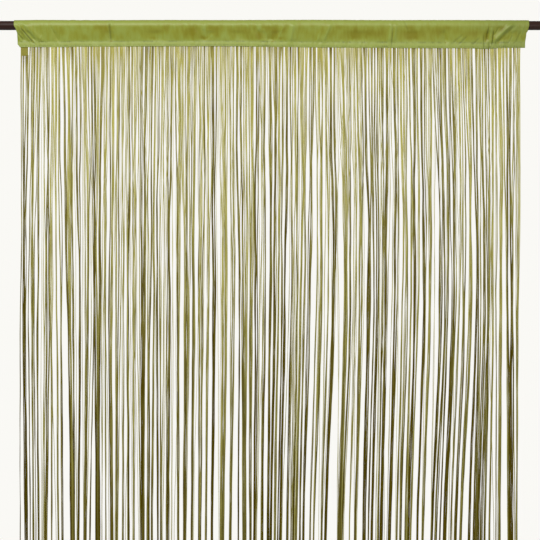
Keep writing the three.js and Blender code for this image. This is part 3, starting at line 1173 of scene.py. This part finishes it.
@dataclass
class Heading:
    """The cloth strip that is folded over the rod and sewn to itself above its lower edge, in millimetres.

    A "rise" is the stretch of heights over which something sets in, from none of it to all of it.
    """

    # The folded strip and its pocket
    width: float = 900.0
    foot: float = HEM_FOOT
    seam: float = -27.0
    sag_start: float = -8.0
    rod_underside: float = -8.0
    pocket_radius: float = 9.6
    pocket_centre: float = -0.55
    arc_parts: int = 40
    half_hem: float = 0.85
    cloth: float = 0.7

    # The folds, the small unevenness and the edges
    ridge_rise: Span = (6.0, -8.0)
    trough_rise: Span = (-8.0, -15.0)
    seam_rise: Span = (-29.0, -22.0)
    top_lift: float = 0.35
    top_lift_fade: float = 60.0
    top_rise: Span = (0.0, 8.0)
    top_ripples: tuple[Grain, ...] = (Grain(11, math.inf, 21, 0.3), Grain(3.5, math.inf, 23, 0.15))
    dents: Grain = Grain(14, 30, 4, 0.5)
    dent_rise: Span = (2.0, -10.0)
    puckers: Grain = Grain(4.5, 40, 9, 0.7)
    pucker_rise: Span = (-14.0, -26.0)
    pucker_foot_rise: Span = (-37.0, -31.0)
    stitch_dip: float = 0.14
    dip_reach: float = 1.6

    # The grid of the flat cut, its stitches and its colour
    columns: int = 650
    rows: int = 74
    front_share: float = 0.74
    end_columns: float = 0.19
    end_width: float = 0.085
    stitching: Stitching = Stitching()
    tones: ClothTones = ClothTones()
    back_shift: float = 1900.0
    section: list[tuple[float, float]] = field(default_factory=list)
    lengths: list[float] = field(default_factory=list)

    def __post_init__(self) -> None:
        """Works out the folded strip's section, from the back wall's foot over the rod to the front's."""
        angle = math.asin(self.pocket_radius / (self.pocket_centre - self.seam))
        self.section = [(self.half_hem, self.foot), (self.half_hem, self.seam)]
        for i in range(self.arc_parts + 1):
            turn = mix(-angle, math.pi + angle, i / self.arc_parts)
            across = self.pocket_radius * math.cos(turn)
            self.section.append((across, self.pocket_centre + self.pocket_radius * math.sin(turn)))
        self.section += [(-self.half_hem, self.seam), (-self.half_hem, self.foot)]
        self.lengths = [0.0]
        for first, second in zip(self.section, self.section[1:]):
            self.lengths.append(self.lengths[-1] + math.dist(first, second))

    @property
    def cut_length(self) -> float:
        """The strip's length before it is folded, in millimetres."""
        return self.lengths[-1]

    def on_section(self, share: float) -> tuple[float, float]:
        """Finds a place on the folded strip.

        Args:
            share: the place's share of the strip's length, from the back wall's foot.

        Returns:
            Its depth and its height.
        """
        place = share * self.cut_length
        depths, heights = zip(*self.section)
        return float(np.interp(place, self.lengths, depths)), float(np.interp(place, self.lengths, heights))

    def front_fold(self, x: float, z: float) -> float:
        """How far the main folds push the front wall towards the viewer at a place.

        Args:
            x: the place along the rod.
            z: its height on the folded strip.

        Returns:
            The push, below 0 in a trough.
        """
        down = (self.rod_underside - z) / (self.rod_underside - self.seam)
        above_seam = ramp(*self.seam_rise, z)
        ridges = ramp(*self.ridge_rise, z) * above_seam
        troughs = ramp(*self.trough_rise, z) * above_seam
        return sum(fold.bulge(x, down) * (ridges if fold.out > 0 else troughs) for fold in FOLDS)

    def crumple(self, x: float, z: float, side: Side) -> float:
        """Small unevenness of the cloth: soft dents over the pocket, puckers at the seam, dips at stitches.

        Args:
            x: the place along the rod.
            z: its height on the folded strip.
            side: the wall.

        Returns:
            How far the cloth is pushed away from the curtain's middle.
        """
        dents = self.dents.at(x, z, side.value) * ramp(*self.dent_rise, z)
        fading = ramp(*self.pucker_rise, z) * ramp(*self.pucker_foot_rise, z)
        puckers = self.puckers.at(x, z, side.value) * fading
        return dents + puckers - self.stitch_dip * self.stitching.near(z, self.dip_reach)

    def lift(self, x: float, height: float) -> float:
        """How far the cloth stands up above the rod at a place.

        Args:
            x: the place along the rod.
            height: its height on the folded strip.

        Returns:
            The lift.
        """
        full = self.top_lift + sum(wave.at(x) for wave in TOP_WAVES) + uneven(self.top_ripples, x)
        end = self.width / 2
        return full * ramp(end, end - self.top_lift_fade, abs(x)) * ramp(*self.top_rise, height)

    def surface(self, x_share: float, share: float) -> Vector:
        """A point of the hung cloth.

        Args:
            x_share: the place along the rod, from 0 to 1.
            share: the place along the folded strip, from 0 at the back wall's foot to 1 at the front's.

        Returns:
            The point, in metres.
        """
        depth, height = self.on_section(share)
        side = Side.FRONT if depth < 0 else Side.BACK
        left, right = (read_table(END_OUTLINE, end, height) for end in ("left", "right"))
        x = mix(left, right, x_share)
        depth += sum(wave.at(x) for wave in HEM_WAVES) * ramp(self.sag_start, self.seam, height)
        if side is Side.FRONT:
            depth -= self.front_fold(x, height) + creased(x, height)
        depth += side.value * self.crumple(x, height, side)
        sag = (hem_foot(x) - self.foot) * ramp(self.sag_start, self.foot, height)
        return Vector((x, depth, height + self.lift(x, height) + sag)) * MM

    def row_place(self, share: float) -> float:
        """Where a row of the grid goes on the strip: the front, from the rod's top down, gets most rows."""
        return float(np.interp(share, [0, 1 - self.front_share, 1], [0, 0.5, 1]))

    def column_place(self, share: float) -> float:
        """Where a column of the grid goes: the two ends, where the small creases are, get more of them."""
        from_end, wide = self.end_columns, self.end_width
        return float(np.interp(share, [0, from_end, 1 - from_end, 1], [0, wide, 1 - wide, 1]))

    def build(self, cloth: SatinCloth, thread: SewingThread) -> None:
        """Lays the flat cut over the rod, then sews its stitches.

        Args:
            cloth: the strip's finish.
            thread: the stitches' finish.
        """
        sheet = bmesh.new()
        flat_layer = sheet.loops.layers.uv.new("flat")
        patch_layer = sheet.verts.layers.float.new("patch")
        painted_shade_layer = sheet.verts.layers.float.new("painted_shade")
        bmesh.ops.create_grid(sheet, x_segments=self.columns, y_segments=self.rows, size=0.5)
        for vert in sheet.verts:
            vert.co.x = self.column_place(vert.co.x + 0.5)
            vert.co.y = self.row_place(vert.co.y + 0.5)
        for face in sheet.faces:
            face.smooth = True
            for loop in face.loops:
                x_share, share = loop.vert.co.xy
                loop[flat_layer].uv = (x_share * self.width * MM, share * self.cut_length * MM)
        for vert in sheet.verts:
            x_share, share = vert.co.xy
            height = self.on_section(share)[1]
            vert.co = self.surface(x_share, share)
            # The back wall's colour comes from a stretch of the pattern that no patch or crease reaches.
            pattern_x = vert.co.x / MM - (0.0 if share > 0.5 else self.back_shift)
            # Both values hold painted light: the first painted shade on the top edge and a highlight on
            # ridges, the second painted shade alone
            vert[patch_layer] = self.tones.patch(pattern_x, height)
            vert[painted_shade_layer] = self.tones.painted_shade(pattern_x, height, self.stitching)
        bmesh.ops.recalc_face_normals(sheet, faces=sheet.faces)
        mesh = as_mesh(sheet, "heading_cloth")
        piece = place_piece(mesh, "heading_cloth", cloth.material())
        thicken(piece, self.cloth)
        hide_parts("heading")
        stitches = self.sew(thread)

    def sew(self, thread: SewingThread) -> bpy.types.Object:
        """Sews the rows of stitches through both layers of the hem.

        Args:
            thread: the stitches' finish.

        Returns:
            The stitches of both walls as one piece.
        """
        sewing = self.stitching
        count = int((self.width - 2 * sewing.end_margin) / sewing.step)
        lines = []
        for row in sewing.rows:
            for side in Side:
                lines += [self.stitch(sewing.end_margin + i * sewing.step, row, side) for i in range(count)]
        mesh = sweep("hem_stitches", lines, sewing.radius)
        return place_piece(mesh, "hem_stitches", thread.material())

    def stitch(self, start: float, row: float, side: Side) -> np.ndarray:
        """One stitch: it comes out of the cloth, lies along it and goes in again.

        Args:
            start: how far it starts from the heading's left end.
            row: its row's height.
            side: the wall that it lies on.

        Returns:
            Its points, in metres.
        """
        from_foot = (row - self.foot) / self.cut_length
        share = from_foot if side is Side.BACK else 1 - from_foot
        points = []
        for stitched, out in self.stitching.arch:
            point = self.surface((start + stitched * self.stitching.length) / self.width, share)
            point.y += side.value * out * MM
            points.append(point)
        return np.array(points)


@dataclass(frozen=True)
class Tape:
    """The woven tape between the hem's layers, and its end that hangs below them at the left.

    Sizes are in millimetres, and heights are those at a place where the heading's foot has its usual height.
    """

    left: float = -439.0
    right: float = 436.0
    top: float = -27.0
    foot: float = -37.1
    end_width: float = 13.0
    end_foot: float = -53.0
    thickness: float = 0.5
    gap: float = 0.1
    parts: int = 220
    end_parts: int = 6
    rows: int = 6

    def build(self, finish: WovenTape) -> None:
        """Makes the tape along the heading's foot, and its end under it.

        Args:
            finish: its finish.
        """
        end_top = hem_foot(self.left) - HEM_FOOT + self.foot - self.gap
        stand = Matrix.Rotation(math.pi / 2, 4, "X")
        band = bmesh.new()
        for low, high, right, parts in (
            (self.foot, self.top, self.right, self.parts),
            (self.end_foot, end_top, self.left + self.end_width, self.end_parts),
        ):
            size = Matrix.Diagonal(((right - self.left) * MM, (high - low) * MM, 1.0, 1.0))
            middle = Matrix.Translation(Vector(((self.left + right) / 2, 0, (low + high) / 2)) * MM)
            placed = middle @ stand @ size
            bmesh.ops.create_grid(band, x_segments=parts, y_segments=self.rows, size=0.5, matrix=placed)
        for vert in band.verts:
            if vert.co.z > end_top * MM:
                vert.co.z += (hem_foot(vert.co.x / MM) - HEM_FOOT) * MM
        piece = place_piece(as_mesh(band, "woven_tape"), "woven_tape", finish.material())
        thicken(piece, self.thickness)
        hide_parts("fringe")


def rise(span: Span, places: np.ndarray) -> np.ndarray:
    """A straight rise from 0 to 1 over a span, at many places."""
    return np.clip((places - span[0]) / (span[1] - span[0]), 0, 1)


def read_along(table: tuple[tuple[float, float], ...], fallen: np.ndarray) -> np.ndarray:
    """Reads a table of distances and values at many distances, in straight lines between its entries."""
    return np.interp(fallen, *zip(*table))


def smooth_through(stations: list[float], values: list[float], heights: np.ndarray) -> np.ndarray:
    """Values at many heights on a smooth line through a few stations.

    The line's direction at an inner station comes from the stretches on both sides of it, after Catmull and
    Rom.

    Args:
        stations: heights of the known values, from the top down.
        values: the known values.
        heights: where values are wanted.

    Returns:
        The values there.
    """
    s = -np.array(stations)
    v = np.array(values)
    h = np.clip(-heights, s[0], s[-1])
    slopes = np.diff(v) / np.diff(s)
    inner = (slopes[:-1] * np.diff(s)[1:] + slopes[1:] * np.diff(s)[:-1]) / (s[2:] - s[:-2])
    tangents = np.concatenate([[slopes[0]], inner, [slopes[-1]]])
    i = np.clip(np.searchsorted(s, h, side="right") - 1, 0, len(s) - 2)
    step = s[i + 1] - s[i]
    t = (h - s[i]) / step
    return (
        (1 + 2 * t) * (1 - t) ** 2 * v[i]
        + t * (1 - t) ** 2 * step * tangents[i]
        + t * t * (3 - 2 * t) * v[i + 1]
        + t * t * (t - 1) * step * tangents[i + 1]
    )


def dress_yarns(mesh: bpy.types.Mesh, tones: list[np.ndarray]) -> None:
    """Gives swept yarns their depth of colour, painted shade and light included.

    Args:
        mesh: a mesh from sweep().
        tones: one value for each ring, yarn by yarn.
    """
    values = np.repeat(np.concatenate(tones), THREAD_SIDES)
    tone = mesh.attributes.new("tone", "FLOAT", "POINT")
    tone.data.foreach_set("value", values.astype(np.float32))


@dataclass(frozen=True)
class Lock:
    """A few neighbouring yarns of one bunch that hang and sway together.

    "number" is the lock's own, counted along the tape. "first" and "count" say which of the bunch's yarns
    they are. "root_x" is the middle of their roots in millimetres, and "dense" is whether that lies at the
    curtain's dense left end.
    """

    bunch: Bunch
    number: int
    first: int
    count: int
    bunch_yarns: int
    root_x: float
    dense: bool

    @property
    def middle(self) -> float:
        """Where its middle is across its bunch, from -0.5 to 0.5."""
        return (self.first + self.count / 2) / self.bunch_yarns - 0.5


class HungYarn(NamedTuple):
    """A yarn's points in metres, and at each of them how deep its colour and how many times its radius is."""

    points: np.ndarray
    tone: np.ndarray
    swell: np.ndarray


@dataclass(frozen=True)
class Sway:
    """A slow wandering down a yarn or lock: a few waves, each with its length, its size and its start."""

    waves: list[tuple[float, float, float]]

    @staticmethod
    def drawn(draw: random.Random, sizes: tuple[tuple[float, float], ...]) -> "Sway":
        """Draws a wandering.

        Args:
            draw: the source of the unevenness.
            sizes: the length and the size of each of its waves.

        Returns:
            The wandering, with each wave's length changed a little and its start set at random.
        """
        waves = []
        for length, size in sizes:
            waves.append((length * draw.uniform(*WAVE_CHANGE), size, draw.uniform(0, math.tau)))
        return Sway(waves)

    def at(self, heights: np.ndarray) -> np.ndarray:
        """How much it adds at each height."""
        return sum(size * np.sin(heights / length * math.tau + start) for length, size, start in self.waves)


@dataclass
class Fringe:
    """The yarns that hang from the tape, in millimetres.

    A lock's colour and place are worked out at its rings' heights, and "fallen" is how far a ring is below
    the lock's top. A "fall" is the stretch of such distances over which something sets in.
    """

    tape: Tape = Tape()
    root_depth: float = 3.0
    row_pitch: float = 2.0
    waist_height: float = -480.0
    foot_height: float = -874.0
    strand_end: float = -1990.0
    end_scatter: float = 8.0
    yarn_radius: float = 0.325
    yarns_a_strand: int = 4
    pieces: int = 5
    seed: int = 11

    # The rings of a yarn
    tip: float = 0.5
    tape_overlap: float = 1.0
    rings_at_top: tuple[float, ...] = (1.0, 5.0, 12.0, 22.0)
    ring_gap: float = 14.0
    rings_shown: int = 46
    rings_below: int = 14

    # How the locks draw together in their bunches, where they part again, and how they sway
    lock_sizes: tuple[int, ...] = (1, 1, 1, 2, 2, 3, 4, 5, 6, 8, 10, 12)
    waist_gather: float = 0.85
    loose_gather: float = 0.3
    dense_gather: float = 1.0
    waist_spread: float = 1.3
    dense_spread: float = 0.9
    end_spread: float = 1.25
    dense_end: float = -408.0
    loose_share: tuple[tuple[int, float], ...] = ((1, 0.9), (2, 0.6), (3, 0.25))
    lone_drift: float = 6.0
    loose_drift: float = 3.0
    drift_along: tuple[tuple[float, float], ...] = ((30, 0), (250, 1), (500, 0.9), (840, 0.3))
    lock_sway: tuple[tuple[float, float], ...] = ((620, 1.7), (260, 0.7), (120, 0.2))
    yarn_sway: tuple[tuple[float, float], ...] = ((240, 0.24), (95, 0.14))
    sway_fall: Span = (0.0, 220.0)
    calm_fall: Span = (200.0, 650.0)
    calm_sway: float = 0.15
    root_shift: float = 0.5
    shift_fall: Span = (0.0, 300.0)

    # How far apart a lock's yarns are, how the lock turns about itself, and how thick its yarns look
    root_change: Span = (0.85, 1.1)
    tight_root: float = 0.75
    tight_pitch: float = 0.43
    close_pitch: float = 0.5
    open_pitch: Span = (0.7, 0.9)
    open_share: float = 0.22
    pitch_falls: tuple[float, ...] = (0.0, 8.0, 40.0, 420.0, 700.0, 2000.0)
    early_closing: float = 0.7
    end_opening: float = 1.4
    turn_length: Span = (70.0, 200.0)
    ribbon_narrowing: float = 0.4
    ribbon_along: tuple[tuple[float, float], ...] = ((0, 0), (60, 1), (500, 1), (700, 0.2))
    ribbon_depth: float = 0.8
    depth_scatter: float = 1.0
    depth_fall: Span = (0.0, 60.0)
    swells: tuple[tuple[float, float], ...] = ((0, 1.45), (25, 1.27), (90, 1.14), (300, 1.16), (650, 1.38))

    # How deep the yarns' colour is, with painted shade and light laid on by height and by lock
    least_tone: float = 0.1
    root_painted_shade: float = 0.26
    root_shade_height: float = 60.0
    foot_painted_shade: float = 0.85
    foot_power: float = 1.15
    loose_thin: Span = (0.45, 0.85)
    lock_thin: Span = (0.0, 0.4)
    thin_power: float = 1.3
    # Dark locks are deeper partly as painted shade of a tight bundle, light ones paler partly as painted
    # highlight
    dark_least: int = 4
    dark_share: float = 0.65
    dark_change: Span = (0.3, 0.6)
    light_change: Span = (-0.16, 0.02)
    change_at_root: float = 0.15
    change_length: float = 130.0
    foot_change_loss: float = 0.4
    open_painted_light: float = 0.25
    # Painted shade and light that come and go along a lock as it turns about itself
    tone_sway: tuple[tuple[float, float], ...] = ((170, 0.12), (70, 0.07))
    yarn_change: float = 0.1
    clump_share: float = 0.35
    clump_drop: Span = (12.0, 45.0)
    clump_painted_shade: float = 0.35

    @property
    def pitch(self) -> float:
        """How far apart the yarns' roots are along the tape."""
        total = self.yarns_a_strand * sum(bunch.strands for bunch in BUNCHES)
        return (self.tape.right - self.tape.left) / total

    def locks(self, draw: random.Random) -> list[Lock]:
        """Parts each bunch's yarns into locks, from left to right.

        Args:
            draw: the source of the unevenness.

        Returns:
            The locks.
        """
        made: list[Lock] = []
        passed = 0
        for bunch in BUNCHES:
            yarns = bunch.strands * self.yarns_a_strand
            first = 0
            while first < yarns:
                count = min(draw.choice(self.lock_sizes), yarns - first)
                root = self.tape.left + (passed + first + count / 2) * self.pitch
                made.append(Lock(bunch, len(made), first, count, yarns, root, root < self.dense_end))
                first += count
            passed += yarns
        return made

    def heights(self, lock: Lock) -> np.ndarray:
        """Works out where a lock's yarns have their rings.

        Args:
            lock: the lock.

        Returns:
            The rings' heights, from the roots in the hem down to the ends.
        """
        under_end = lock.root_x < self.tape.left + self.tape.end_width
        hem_root = hem_foot(lock.root_x) + self.root_depth
        top = self.tape.end_foot + self.tape_overlap if under_end else hem_root
        first = top - self.root_depth - np.array(self.rings_at_top)
        shown = np.linspace(first[-1] - self.ring_gap, self.foot_height, self.rings_shown)
        scatter = (lock.number * GOLDEN_RATIO) % 1 - 0.5
        bottom = self.strand_end + 2 * self.end_scatter * scatter
        below = np.linspace(self.foot_height, bottom, self.rings_below + 1)[1:]
        return np.concatenate([[top + self.tip, top], first, shown, below, [bottom - self.tip]])

    def route(self, lock: Lock, heights: np.ndarray, loose: bool, draw: random.Random) -> np.ndarray:
        """Where the middle of a lock is along the rod at each height.

        Args:
            lock: the lock.
            heights: its rings' heights.
            loose: whether it hangs by itself and comes to its bunch only near the foot.
            draw: the source of its unevenness.

        Returns:
            Its places.
        """
        gather = self.loose_gather if loose else self.waist_gather
        spread = self.waist_spread
        if lock.dense:
            gather, spread = self.dense_gather, self.dense_spread
        middle = lock.middle * lock.bunch.spread
        stations = [heights[0], self.waist_height, self.foot_height, heights[-1]]
        places = [
            lock.root_x,
            mix(lock.root_x, lock.bunch.waist + middle * spread, gather),
            lock.bunch.foot + middle,
            lock.bunch.foot + middle * self.end_spread,
        ]
        fallen = heights[0] - heights
        sway = Sway.drawn(draw, self.lock_sway).at(heights) * rise(self.sway_fall, fallen)
        sway *= mix(1, self.calm_sway, rise(self.calm_fall, fallen))
        shift = draw.gauss(0, self.root_shift) * (1 - rise(self.shift_fall, fallen))
        return smooth_through(stations, places, heights) + shift + sway

    def pitches(self, lock: Lock, fallen: np.ndarray, tight: bool, draw: random.Random) -> np.ndarray:
        """How far apart a lock's yarns are at each distance below its top.

        Args:
            lock: the lock.
            fallen: the distances.
            tight: whether the lock draws together right under the hem.
            draw: the source of its unevenness.

        Returns:
            The pitch at each distance.
        """
        at_root = self.pitch * (1.0 if lock.dense else draw.uniform(*self.root_change))
        below = draw.uniform(*self.open_pitch) if draw.random() < self.open_share else self.close_pitch
        if tight:
            at_root *= self.tight_root
            below = self.tight_pitch
        closing = mix(at_root, below, self.early_closing)
        at_foot = lock.bunch.spread / lock.bunch_yarns
        pitches = [at_root, at_root, closing, below, at_foot, at_foot * self.end_opening]
        return np.interp(fallen, self.pitch_falls, pitches)

    def tone_change(
        self, lock: Lock, heights: np.ndarray, dark: bool, pitch: np.ndarray, draw: random.Random
    ) -> np.ndarray:
        """How much deeper than usual a lock's colour is at each height, painted shade and light included.

        Args:
            lock: the lock.
            heights: its rings' heights.
            dark: whether it is one of the dark locks.
            pitch: how far apart its yarns are at each height.
            draw: the source of its unevenness.

        Returns:
            The change, below 0 where the colour is paler.
        """
        fallen = heights[0] - heights
        # A lock's own depth of colour, with painted shade in a dark lock and painted highlight in a light one
        change = draw.uniform(*(self.dark_change if dark else self.light_change))
        change = change * np.clip(self.change_at_root + fallen / self.change_length, 0, 1)
        # Painted light where the lock opens and light passes between its yarns
        change -= self.open_painted_light * rise((self.tight_pitch, self.open_pitch[1]), pitch)
        # Painted shade and light coming and going as the lock turns
        change += Sway.drawn(draw, self.tone_sway).at(heights)
        # Painted shade where the yarns crowd together right under the hem
        if lock.dense or draw.random() < self.clump_share:
            clump_end = self.root_depth + draw.uniform(*self.clump_drop)
            change += self.clump_painted_shade * (1 - rise((self.root_depth, clump_end), fallen))
        return change

    def tone(self, heights: np.ndarray, thin: float, change: np.ndarray) -> np.ndarray:
        """How deep a yarn's colour is at each height, with painted shade under the hem and towards the foot.

        Args:
            heights: its rings' heights.
            thin: how thin its lock is, from 0 to 1. A thin one gets less painted shade and stays pale further
                down.
            change: how much deeper than usual its colour is at each height.

        Returns:
            From 0 to 1.
        """
        down = rise((HEM_FOOT, self.foot_height), heights)
        # Painted shade at the roots, under the hem
        roots = self.root_painted_shade * (1 - rise((HEM_FOOT, HEM_FOOT - self.root_shade_height), heights))
        # Painted shade towards the foot, where the bunches shade their own yarns; a thin lock gets less of it
        foot = self.foot_painted_shade * down**self.foot_power * (1 - thin)
        return np.clip(self.least_tone + roots + change * (1 - self.foot_change_loss * down) + foot, 0, 1)

    def hang(self, lock: Lock, draw: random.Random) -> list[HungYarn]:
        """Hangs one lock, which turns slowly about itself as a ribbon does.

        Args:
            lock: the lock.
            draw: the source of its unevenness.

        Returns:
            Its yarns.
        """
        heights = self.heights(lock)
        fallen = heights[0] - heights
        loose = draw.random() < dict(self.loose_share).get(lock.count, 0.0) and not lock.dense
        across = self.route(lock, heights, loose, draw)
        dark_share = 1.0 if lock.dense else self.dark_share
        dark = lock.count >= self.dark_least and draw.random() < dark_share
        pitch = self.pitches(lock, fallen, dark, draw)
        row = draw.choice((-1, 0, 1)) * self.row_pitch
        turn = draw.uniform(0, math.tau) + fallen / draw.uniform(*self.turn_length) * draw.choice((-1, 1))
        narrowing = 1 - self.ribbon_narrowing * np.sin(turn) ** 2 * read_along(self.ribbon_along, fallen)
        if loose:
            drift = draw.gauss(0, self.lone_drift if lock.count == 1 else self.loose_drift)
            across = across + drift * read_along(self.drift_along, fallen)
        thin = draw.uniform(*self.loose_thin) if loose else draw.uniform(*self.lock_thin) ** self.thin_power
        change = self.tone_change(lock, heights, dark, pitch, draw)
        swell = read_along(self.swells, fallen)
        hung = []
        for k in range(lock.count):
            offset = (k + 0.5 - lock.count / 2) * pitch
            x = across + offset * narrowing + Sway.drawn(draw, self.yarn_sway).at(heights)
            y = row + offset * np.sin(turn) * self.ribbon_depth
            y = (y + draw.uniform(-self.depth_scatter, self.depth_scatter)) * rise(self.depth_fall, fallen)
            tone = self.tone(heights, thin, change + draw.uniform(-self.yarn_change, self.yarn_change))
            hung.append(HungYarn(np.column_stack([x, y, heights]) * MM, tone, swell))
        return hung

    def build(self, finish: Yarn) -> None:
        """Hangs the yarns from the tape, in a few joined pieces.

        Args:
            finish: their finish.
        """
        draw = random.Random(self.seed)
        locks = self.locks(draw)
        material = finish.material()
        share = math.ceil(len(locks) / self.pieces)
        for i in range(self.pieces):
            hung: list[HungYarn] = []
            for lock in locks[i * share : (i + 1) * share]:
                hung += self.hang(lock, draw)
            lines = [yarn.points for yarn in hung]
            mesh = sweep(f"yarns_{i + 1}", lines, self.yarn_radius, [yarn.swell for yarn in hung])
            dress_yarns(mesh, [yarn.tone for yarn in hung])
            piece = place_piece(mesh, f"yarns_{i + 1}", material)
            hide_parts("fringe")


class Lamp(NamedTuple):
    """A soft square light: its place, its target and its size in metres, and its power in watts."""

    name: str
    place: tuple[float, float, float]
    target: tuple[float, float, float]
    size: float
    power: float

    def hang(self) -> None:
        """Puts the lamp in the scene, turned to its target and unseen by the camera."""
        light = bpy.data.lights.new(self.name, "AREA")
        light.size = self.size
        light.energy = self.power
        holder = add(self.name, light)
        holder.location = self.place
        aim = Vector(self.target) - Vector(self.place)
        holder.rotation_euler = aim.to_track_quat("-Z", "Y").to_euler()
        holder.visible_camera = False


@dataclass
class Studio:
    """The camera, the lights, the pale surroundings and the floor, in millimetres but for the lamps."""

    picture_width: float = 945.5
    picture_middle: tuple[float, float] = (-2.6, -428.0)
    distance: float = 3200.0
    sensor: float = 36.0
    view_end: float = 50000.0
    surroundings: Colour = srgb(250, 249, 245)
    room: Colour = (0.95, 0.97, 1.0)
    room_light: float = 0.35
    floor_height: float = -2030.0
    floor_radius: float = 2200.0
    lamps: tuple[Lamp, ...] = (
        Lamp("key", (-0.6, -2.25, 1.12), (0.0, 0.0, -0.2), size=1.0, power=58.0),
        Lamp("fill", (1.2, -2.6, -0.4), (0.0, 0.0, -0.8), size=1.6, power=14.0),
        Lamp("back", (0.7, 2.6, 0.9), (0.0, 0.0, -0.5), size=1.6, power=26.0),
    )

    def build(self) -> None:
        """Sets everything up."""
        self.set_camera()
        self.set_world()
        for lamp in self.lamps:
            lamp.hang()
        self.add_floor(PaleFloor())

    def set_camera(self) -> None:
        """Puts the camera straight before the curtain, far off, as the photo is nearly flat."""
        camera = bpy.data.cameras.new("camera")
        camera.sensor_width = self.sensor
        camera.lens = self.sensor * self.distance / self.picture_width
        camera.clip_end = self.view_end * MM
        holder = add("camera", camera)
        holder.location = Vector((self.picture_middle[0], -self.distance, self.picture_middle[1])) * MM
        holder.rotation_euler = (math.pi / 2, 0.0, 0.0)
        bpy.context.scene.camera = holder

    def set_world(self) -> None:
        """Gives the scene pale, even surroundings and true colours."""
        world = bpy.data.worlds.new("pale_studio")
        world.use_nodes = True
        tree = world.node_tree
        seen = tree.nodes["Background"]
        seen.inputs["Color"].default_value = (*self.surroundings, 1.0)
        room = tree.nodes.new("ShaderNodeBackground")
        room.inputs["Color"].default_value = (*self.room, 1.0)
        room.inputs["Strength"].default_value = self.room_light
        path = tree.nodes.new("ShaderNodeLightPath")
        choice = tree.nodes.new("ShaderNodeMixShader")
        tree.links.new(path.outputs["Is Camera Ray"], choice.inputs["Fac"])
        tree.links.new(room.outputs["Background"], choice.inputs[1])
        tree.links.new(seen.outputs["Background"], choice.inputs[2])
        tree.links.new(choice.outputs["Shader"], tree.nodes["World Output"].inputs["Surface"])
        bpy.context.scene.world = world
        bpy.context.scene.view_settings.view_transform = "Standard"

    def add_floor(self, finish: PaleFloor) -> None:
        """Lays the round floor under the curtain.

        Args:
            finish: its finish.
        """
        ground = bmesh.new()
        bmesh.ops.create_circle(ground, cap_ends=True, segments=64, radius=self.floor_radius * MM)
        bmesh.ops.translate(ground, verts=ground.verts, vec=(0, 0, self.floor_height * MM))
        mesh = as_mesh(ground, "floor")
        mesh.materials.append(finish.material())
        add("floor", mesh)


def main() -> None:
    """Builds the curtain piece by piece."""
    logging.basicConfig(level=logging.INFO, format="%(message)s")
    Studio().build()
    LOG.info("studio ready")
    Rod().build(PaintedRod())
    Heading().build(SatinCloth(), SewingThread())
    Tape().build(WovenTape())
    Fringe().build(Yarn())


if __name__ == "__main__":
    main()
